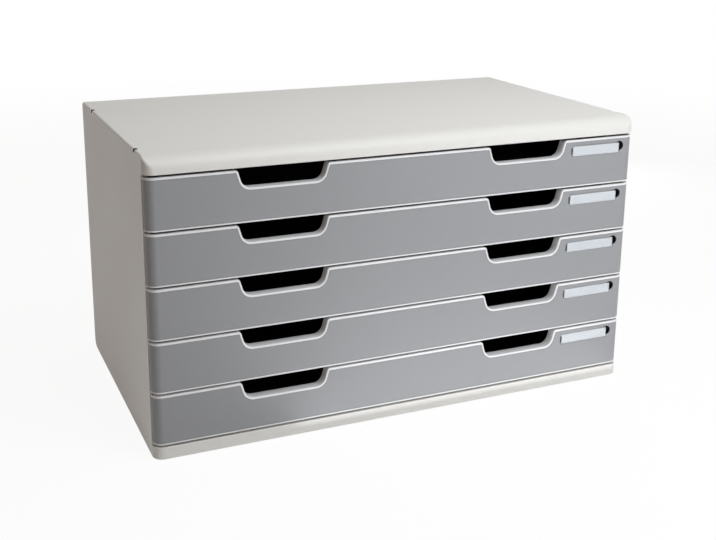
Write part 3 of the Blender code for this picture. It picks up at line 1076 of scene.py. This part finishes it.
@dataclass(frozen=True)
class BackPanel:
    """The back panel, with a shallow field whose edges are softened."""

    margin: float = 0.030
    field_depth: float = 0.001
    field_radius: float = 0.012
    gap: float = 0.0003
    edge: float = 0.0004

    def build(self) -> None:
        """Builds and dresses the panel."""
        half, back = CASE.inner_half - self.gap, CASE.back - CASE.back_recess
        low, high = CASE.base_top + self.gap, CASE.lid_bottom - self.gap
        panel = Solid.box((-half, CASE.back_panel_front, low), (half, back, high))
        reach = half - self.margin
        outline = rectangle(-reach, low + self.margin, reach, high - self.margin)
        outline = softened([(x, z, self.field_radius) for x, z in outline])
        panel = panel - Solid.prism(View.FRONT, outline, back - self.field_depth, back + OVERRUN)
        add_piece("back_wall", panel.rounded(self.edge), CASING, "casing", "back_panel")


@dataclass(frozen=True)
class DrawerFront:
    """The front of a drawer: a dark face in a light bezel, both wrapped round the corners.

    Both are drawn flat, with x along the skin from the middle, y back from the front of the casing
    and z up from the bottom of the front, and are then bent round the casing's corners.
    """

    height: float = 0.0544
    setback: float = 0.0008
    wrap_end: float = 0.0117
    wrap_steps: int = 12
    face_thickness: float = 0.0026
    face_edge: float = 0.0004
    web_thickness: float = 0.002
    bezel_edge: float = 0.00055
    top_rim: float = 0.0024
    bottom_rim: float = 0.0015
    seam: float = 0.0003
    hold_width: float = 0.1013
    hold_drop: float = 0.0208
    hold_slant: float = 0.0061
    hold_radius: float = 0.013
    hold_rim: float = 0.002
    hold_sill: float = 0.011
    hold_end_inset: float = 0.143
    lip: float = 0.0014
    lip_fit: float = 0.0001
    lip_root: Point = (0.0028, 0.0003)
    lip_steps: int = 6
    shoulder: float = 0.0036
    label_width: float = 0.063
    label_height: float = 0.0114
    label_end_inset: float = 0.0202
    label_drop: float = 0.0078
    label_recess: float = 0.0016
    label_top_slope: float = 0.004
    label_end_slope: float = 0.004
    label_bottom_slope: float = 0.001
    label_fit: float = 0.0001
    slope_steps: int = 6
    slot_width: float = 0.0030
    slot_margin: float = 0.0014
    slot_radius: float = 0.0012
    slot_steps: int = 8
    thumb_radius: float = 0.0055
    thumb_skin: float = 0.0010
    thumb_rise: float = 0.008
    thumb_room: float = 0.0035

    @property
    def web_front(self) -> float:
        """Depth at which the web behind the face starts."""
        return self.setback + self.face_thickness + self.seam

    @property
    def web_back(self) -> float:
        """Depth at which the web ends."""
        return self.web_front + self.web_thickness

    @property
    def corner_start(self) -> float:
        """Where along the skin the round corners start."""
        return CASE.half - CASE.corner

    @property
    def corner_length(self) -> float:
        """Length of a round corner along the skin."""
        return CASE.corner * math.pi / 2

    @property
    def flat_half(self) -> float:
        """Half the length of the front along its skin."""
        return self.corner_start + self.corner_length + self.wrap_end - CASE.corner

    @property
    def label_box(self) -> tuple[float, float, float, float]:
        """Place of the label on the flat front: left, bottom, right and top."""
        right, top = CASE.half - self.label_end_inset, self.height - self.label_drop
        return right - self.label_width, top - self.label_height, right, top

    @property
    def hold_centres(self) -> list[float]:
        """Where the middle of each hand-hold lies."""
        return [CASE.half - self.hold_end_inset, self.hold_end_inset - CASE.half]

    def hold_corners(self, centre: float, grow: float, high: float, shoulder: float) -> list[Corner]:
        """Corners of a hand-hold from its upper right to its upper left.

        Args:
            centre: Its middle.
            grow: How far its outline is moved outward.
            high: The height at which it is open.
            shoulder: Radius of the two upper corners.

        Returns:
            The four corners with their radii.
        """
        bottom = self.height - self.hold_drop
        lean = math.atan(self.hold_slant / self.hold_drop)
        foot = self.hold_width / 2 - self.hold_slant + grow / math.cos(lean)
        low = bottom - grow
        upper = foot + (high - bottom) * math.tan(lean)
        lower = foot + (low - bottom) * math.tan(lean)
        radius = self.hold_radius + grow
        return [
            (centre + upper, high, shoulder), (centre + lower, low, radius),
            (centre - lower, low, radius), (centre - upper, high, shoulder),
        ]

    def notched(self, half: float, low: float, high: float, grow: float, shoulder: float) -> list[Point]:
        """Outline of a strip whose upper edge dips round both hand-holds.

        Args:
            half: Half its length.
            low: Height of its lower edge.
            high: Height of its upper edge.
            grow: How far the dips are moved outward.
            shoulder: Radius where a dip starts.

        Returns:
            The points of the outline.
        """
        corners: list[Corner] = [(-half, low, 0.0), (half, low, 0.0), (half, high, 0.0)]
        for centre in self.hold_centres:
            corners += self.hold_corners(centre, grow, high, shoulder)
        return softened(corners + [(-half, high, 0.0)])

    def bent_place(self, place: Vector) -> Vector:
        """Where a point of the flat front comes to lie.

        Args:
            place: The point, on the flat front.

        Returns:
            Its place on the bent one.
        """
        past = abs(place.x) - self.corner_start
        if past <= 0:
            return place.copy()
        turn = min(past / CASE.corner, math.pi / 2)
        onward = max(past - self.corner_length, 0.0)
        reach = CASE.corner - place.y
        x = self.corner_start + reach * math.sin(turn)
        y = CASE.corner - reach * math.cos(turn) + onward
        return Vector((math.copysign(x, place.x), y, place.z))

    def bezel(self) -> Solid:
        """The light frame: the web behind the face, the rims round it, and the sills of the holds.

        Returns:
            The bezel.
        """
        half = self.flat_half
        sill_end = self.setback + self.hold_sill
        outline = self.notched(half, 0.0, self.height, -self.hold_rim, self.shoulder)
        bezel = Solid.prism(View.FRONT, outline, self.setback, sill_end)
        behind = self.notched(half + OVERRUN, -OVERRUN, self.height + OVERRUN, 0.0, 0.0)
        bezel = bezel - Solid.prism(View.FRONT, behind, self.web_back, sill_end + OVERRUN)
        high = self.height - self.top_rim
        groove = self.notched(half + OVERRUN, self.bottom_rim, high, 0.0, self.shoulder - self.top_rim)
        bezel = bezel - Solid.prism(View.FRONT, groove, -OVERRUN, self.web_front)
        bezel = reduce(sub, map(self.lip_cutter, self.hold_centres), bezel)
        return self.finished(bezel.rounded(self.bezel_edge))

    def face(self) -> Solid:
        """The dark face, with its label recess and its thumb hole.

        Returns:
            The face.
        """
        high = self.height - self.top_rim - self.seam
        shoulder = self.shoulder - self.top_rim - self.seam
        outline = self.notched(self.flat_half, self.bottom_rim + self.seam, high, self.seam, shoulder)
        face = Solid.prism(View.FRONT, outline, self.setback, self.setback + self.face_thickness)
        face = face - self.label_cutter() - self.thumb_disc(0.0, -OVERRUN)
        return self.finished(face.rounded(self.face_edge))

    def finished(self, solid: Solid) -> Solid:
        """Cuts the card slot and the room behind the thumb hole's skin, and bends the corners.

        Args:
            solid: The flat solid.

        Returns:
            The bent solid.
        """
        solid = solid - self.thumb_disc(self.thumb_room, self.setback + self.thumb_skin)
        steps = range(self.wrap_steps + 1)
        turns = [self.corner_start + self.corner_length * step / self.wrap_steps for step in steps]
        return (solid - self.slot_cutter()).bent(turns + [-place for place in turns], self.bent_place)

    def lip_cutter(self, centre: float) -> Solid:
        """Rolls the front edge of a hand-hold over into its sill.

        Args:
            centre: Middle of the hand-hold.

        Returns:
            A cutter that flares toward the front.
        """
        flare = [(self.setback + self.lip_root[0], -self.lip_root[1])]
        for angle in quarter(self.lip_steps):
            out = self.lip * (1 - math.cos(angle)) - self.lip_fit * math.cos(angle)
            flare.append((self.setback + self.lip * (1 - math.sin(angle)), out))
        flare.append((-OVERRUN, self.lip))
        sections = []
        for y, out in flare:
            corners = self.hold_corners(centre, out - self.hold_rim, self.height + OVERRUN, 0.0)
            sections.append([Vector((x, y, z)) for x, z in softened(corners)])
        return Solid.lofted(sections)

    def label_cutter(self) -> Solid:
        """The recess for a label, with sides that round over into the face.

        Returns:
            The cutter that makes it.
        """
        left, bottom, right, top = self.label_box
        sections = []
        for angle in quarter(self.slope_steps):
            share = 1 - math.cos(angle)
            y = self.setback + self.label_recess * (1 - math.sin(angle))
            end = share * self.label_end_slope
            low, high = bottom - share * self.label_bottom_slope, top + share * self.label_top_slope
            sections.append([Vector((x, y, z)) for x, z in rectangle(left - end, low, right + end, high)])
        sections.append([Vector((x, -OVERRUN, z)) for x, y, z in sections[-1]])
        return Solid.lofted(sections)

    def slot_cutter(self) -> Solid:
        """The slot at the left end of the label, where the card goes in.

        Returns:
            The cutter that makes it.
        """
        left, bottom, _, top = self.label_box
        margin, radii = self.slot_margin, (self.slot_radius, 0.0, 0.0, self.slot_radius)
        spots = rectangle(left - self.slot_width, bottom + margin, left + self.label_fit, top - margin)
        outline = softened([(*spot, radius) for spot, radius in zip(spots, radii)], self.slot_steps)
        return Solid.prism(View.FRONT, outline, -OVERRUN, self.web_back + OVERRUN)

    def thumb_disc(self, grow: float, start: float) -> Solid:
        """A round cutter for the thumb hole at the right end of the label.

        Args:
            grow: How much wider it is than the hole.
            start: The depth it starts from.

        Returns:
            The cutter, which goes through the web.
        """
        _, bottom, right, _ = self.label_box
        rings = [(self.thumb_radius + grow, depth) for depth in (start, self.web_back + OVERRUN)]
        return Solid.turned(rings, Vector((right, 0, bottom + self.thumb_rise)), View.FRONT)

    def label_sheet(self, back: float, thickness: float, edge: float) -> Solid:
        """A flat sheet in the recess.

        Args:
            back: Depth of its back.
            thickness: Its thickness.
            edge: How far its edges are rounded.

        Returns:
            The sheet.
        """
        left, bottom, right, top = self.label_box
        fit = self.label_fit
        low = (left + fit, back - thickness, bottom + fit)
        return Solid.box(low, (right - fit, back, top - fit)).rounded(edge, THIN_EDGE_STEPS)


@dataclass(frozen=True)
class DrawerBox:
    """The box behind a drawer's front: its floor, back and two rails. Drawn in the drawer's frame."""

    floor: float = 0.002
    floor_lift: float = 0.0015
    wall: float = 0.002
    wall_top: float = 0.046
    front: float = 0.006
    back_clearance: float = 0.003
    seam: float = 0.0003
    flange_width: float = 0.009
    flange_thickness: float = 0.002
    side_clearance: float = 0.001
    tab_length: float = 0.003
    tab_height: float = 0.004
    tab_width: float = 0.006
    edge: float = 0.0004

    @property
    def back(self) -> float:
        """Depth at which the box ends, clear of the back panel."""
        return CASE.depth - CASE.back_recess - CASE.back_wall - self.back_clearance

    @property
    def flange_half(self) -> float:
        """Half the width over the flanges."""
        return CASE.inner_half - self.side_clearance

    @property
    def half(self) -> float:
        """Half the width over the walls."""
        return self.flange_half - self.flange_width

    def sheet(self, front: float, low: float, high: float) -> Solid:
        """A sheet between the rails, up to the back of the box."""
        half = self.half - self.wall - self.seam
        return Solid.box((-half, front, low), (half, self.back, high)).rounded(self.edge)

    def floor_sheet(self) -> Solid:
        """The floor."""
        return self.sheet(self.front, self.floor_lift, self.floor_lift + self.floor)

    def back_sheet(self) -> Solid:
        """The back wall, over the end of the floor."""
        return self.sheet(self.back - self.wall, self.floor_lift + self.floor + self.seam, self.wall_top)

    def rail(self, side: int) -> Solid:
        """A side rail with its hanging flange and stop tab.

        Args:
            side: -1 for the left rail and 1 for the right one.

        Returns:
            The rail.
        """
        outer, under = self.flange_half, self.wall_top - self.flange_thickness
        top = (self.back, self.wall_top)
        rail = Solid.beside(side, (self.half - self.wall, self.half), (self.front, self.floor_lift), top)
        rail = rail + Solid.beside(side, (self.half - self.wall / 2, outer), (CASE.panel_front, under), top)
        low, high = (self.back - self.tab_length, under), (self.back, self.wall_top + self.tab_height)
        rail = rail + Solid.beside(side, (outer - self.tab_width, outer), low, high)
        return rail.rounded(self.edge)


@dataclass(frozen=True)
class Drawers:
    """The five like drawers. Each rides on its own body."""

    front: DrawerFront = DrawerFront()
    box: DrawerBox = DrawerBox()
    card: float = 0.0003
    card_edge: float = 0.00005
    window: float = 0.0008
    window_edge: float = 0.0002

    def build(self) -> None:
        """Builds the shapes once and dresses each drawer with them."""
        fit = self.front.label_fit
        card_back = self.front.setback + self.front.label_recess - fit
        card = self.front.label_sheet(card_back, self.card, self.card_edge)
        window = self.front.label_sheet(card_back - self.card - fit, self.window, self.window_edge)
        kinds = {
            "bezel": (self.front.bezel(), BEZEL, "drawer_bezel"),
            "face": (self.front.face(), FACE, "drawer_front"),
            # The floor, back and rails are painted near-black as shade for the unlit inside of the drawer.
            "floor": (self.box.floor_sheet(), TRAY_PAINTED_SHADE, "drawer_floor"),
            "back": (self.box.back_sheet(), TRAY_PAINTED_SHADE, "drawer_back"),
            "rail_left": (self.box.rail(-1), TRAY_PAINTED_SHADE, "drawer_rail_left"),
            "rail_right": (self.box.rail(1), TRAY_PAINTED_SHADE, "drawer_rail_right"),
            "card": (card, CARD, "label_card"),
            "window": (window, WINDOW, "label_window"),
        }
        for number in range(1, CASE.drawers + 1):
            place = (0, CASE.front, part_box("drawer_bezel_%d" % number)[0].z)
            for kind, (solid, finish, node) in kinds.items():
                name, node = "%s_%d" % (kind, number), "%s_%d" % (node, number)
                add_piece(name, solid, finish, "drawer_%d" % number, node, place)


# Studio


@dataclass(frozen=True)
class Lamp:
    """A soft square lamp."""

    name: str
    place: Corner
    size: float
    watts: float
    colour: Colour
    aim: Corner = (0.0, 0.0, 0.16)

    def hang(self) -> None:
        """Hangs the lamp and aims it."""
        light = bpy.data.lights.new(self.name, "AREA")
        light.shape = "SQUARE"
        light.size = self.size
        light.energy = self.watts
        light.color = self.colour
        lamp = new_object(self.name, light, self.place)
        lamp.visible_camera = False
        lamp.rotation_euler = (Vector(self.aim) - Vector(self.place)).to_track_quat("-Z", "Y").to_euler()


@dataclass(frozen=True)
class Studio:
    """A pale floor, soft lamps, the world and the camera."""

    floor_size: float = 8.0
    floor_colour: Colour = (0.92, 0.92, 0.91)
    floor_glow: float = 0.93
    floor_fade: Point = (1.0, 2.6)
    ambient: float = 0.200
    ambient_colour: Colour = (1.0, 0.79, 0.66)
    lamps: tuple[Lamp, ...] = (
        Lamp("front", (0.50, -0.90, 0.20), 0.6, 2.8, (0.96, 1.0, 1.04)),
        Lamp("top", (0.30, -0.30, 1.30), 0.8, 4.4, (0.95, 1.0, 1.03)),
        Lamp("high", (0.30, -0.80, 1.20), 0.8, 9.2, (0.94, 1.0, 1.04)),
        Lamp("bounce", (0.08, -0.38, 0.01), 0.42, 0.63, (0.98, 1.0, 1.01), (0.08, -0.37, 1.0)),
        Lamp("fill", (0.80, 1.00, 0.16), 0.28, 7.5, (0.95, 1.0, 1.04)),
    )
    camera_place: Corner = (-0.4991, -1.1476, 0.5463)
    camera_turn: Corner = (75.672, -0.286, -22.862)
    camera_lens: float = 53.65
    camera_sensor: float = 36.0
    camera_shift: Point = (0.0254, -0.1187)
    camera_range: Point = (0.05, 60.0)

    def lay_floor(self) -> None:
        """Lays the floor: pale paint under the unit that keeps its shadow and fades into the white."""
        reach = self.floor_size / 2
        mesh = bpy.data.meshes.new("floor")
        mesh.from_pydata([(x, y, 0) for x, y in rectangle(-reach, -reach, reach, reach)], [], [range(4)])
        floor = new_object("floor", mesh)
        material = bpy.data.materials.new("floor_paint")
        mesh.materials.append(material)
        board = Board(material)
        paint = board.field("BsdfDiffuse", {"Color": opaque(self.floor_colour)})
        glow = board.field("Emission", {"Color": opaque(WHITE), "Strength": 1.0})
        pale = board.field("MixShader", {0: self.floor_glow * board.seen(), 1: paint, 2: glow})
        away = board.vector("LENGTH", {0: board.field("TexCoord", {}, "Object")}, "Value")
        fade = away.step(*self.floor_fade)
        nothing = board.field("BsdfTransparent", {})
        board.close(board.field("MixShader", {0: fade, 1: pale, 2: nothing}))

    def light(self) -> None:
        """Hangs the lamps and sets the world: white where it is seen, plain light where it isn't."""
        for lamp in self.lamps:
            lamp.hang()
        world = bpy.data.worlds.new("studio")
        bpy.context.scene.world = world
        board = Board(world)
        seen = board.seen()
        colour = board.mixed(seen, opaque(self.ambient_colour), opaque(WHITE))
        strength = self.ambient + (1.0 - self.ambient) * seen
        back = board.field("Background", {"Color": colour, "Strength": strength})
        board.close(back, "OutputWorld")

    def set_camera(self) -> None:
        """Sets the camera where the photograph was taken from."""
        data = bpy.data.cameras.new("camera")
        data.sensor_width = self.camera_sensor
        data.lens = self.camera_lens
        data.shift_x, data.shift_y = self.camera_shift
        data.clip_start, data.clip_end = self.camera_range
        camera = new_object("camera", data, self.camera_place)
        camera.rotation_euler = [math.radians(angle) for angle in self.camera_turn]
        bpy.context.scene.camera = camera

    def build(self) -> None:
        """Sets the whole studio."""
        self.lay_floor()
        self.light()
        self.set_camera()
        bpy.context.scene.view_settings.view_transform = "Standard"


def main() -> None:
    """Builds the studio, the casing and the drawers in order."""
    logging.basicConfig(level=logging.INFO, format="%(name)s: %(message)s")
    Studio().build()
    TopCover().build()
    Plinth().build()
    SidePanel("left", -1).build()
    SidePanel("right", 1).build()
    BackPanel().build()
    Drawers().build()


if __name__ == "__main__":
    main()
